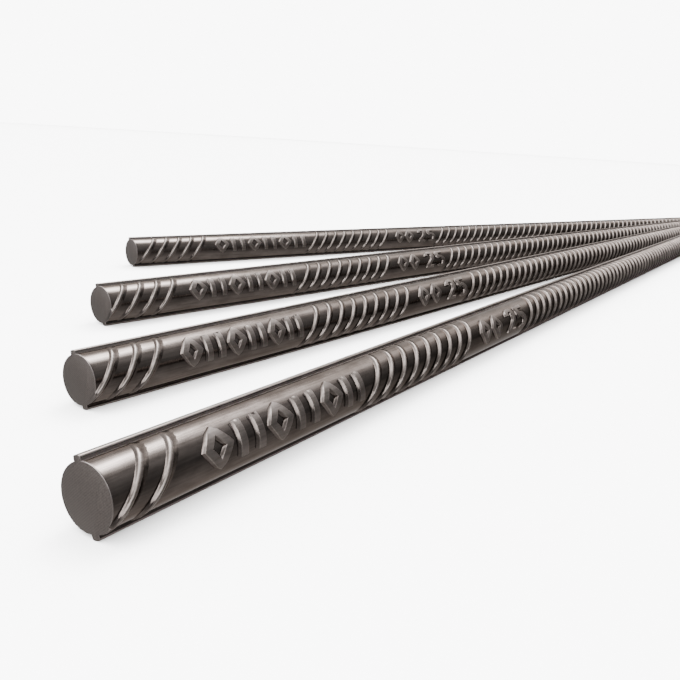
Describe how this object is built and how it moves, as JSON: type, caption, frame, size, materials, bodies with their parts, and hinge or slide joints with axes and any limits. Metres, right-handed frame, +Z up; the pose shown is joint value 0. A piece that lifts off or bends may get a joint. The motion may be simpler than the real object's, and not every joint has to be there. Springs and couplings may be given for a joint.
{
  "type": "rebar bundle",
  "caption": "Loose bundle of cut ribbed steel reinforcing bars fanned out on a level surface, near ends sawn square and spread, far ends close together.",
  "frame": {"origin": "on the floor, below the middle of the box around all the bars", "axes": "+X from the spread near ends towards the gathered far ends, +Z up, +Y from the front bar towards the back bar"},
  "size_m": [1.4918, 0.4344, 0.0265],
  "materials": {
    "hot_rolled_steel": "satin dark mill scale, as rolled, with sawn ends"
  },
  "bodies": {
    "root": {"front_bar": "hot_rolled_steel", "second_bar": "hot_rolled_steel", "third_bar": "hot_rolled_steel", "back_bar": "hot_rolled_steel"}
  },
  "joints": []
}
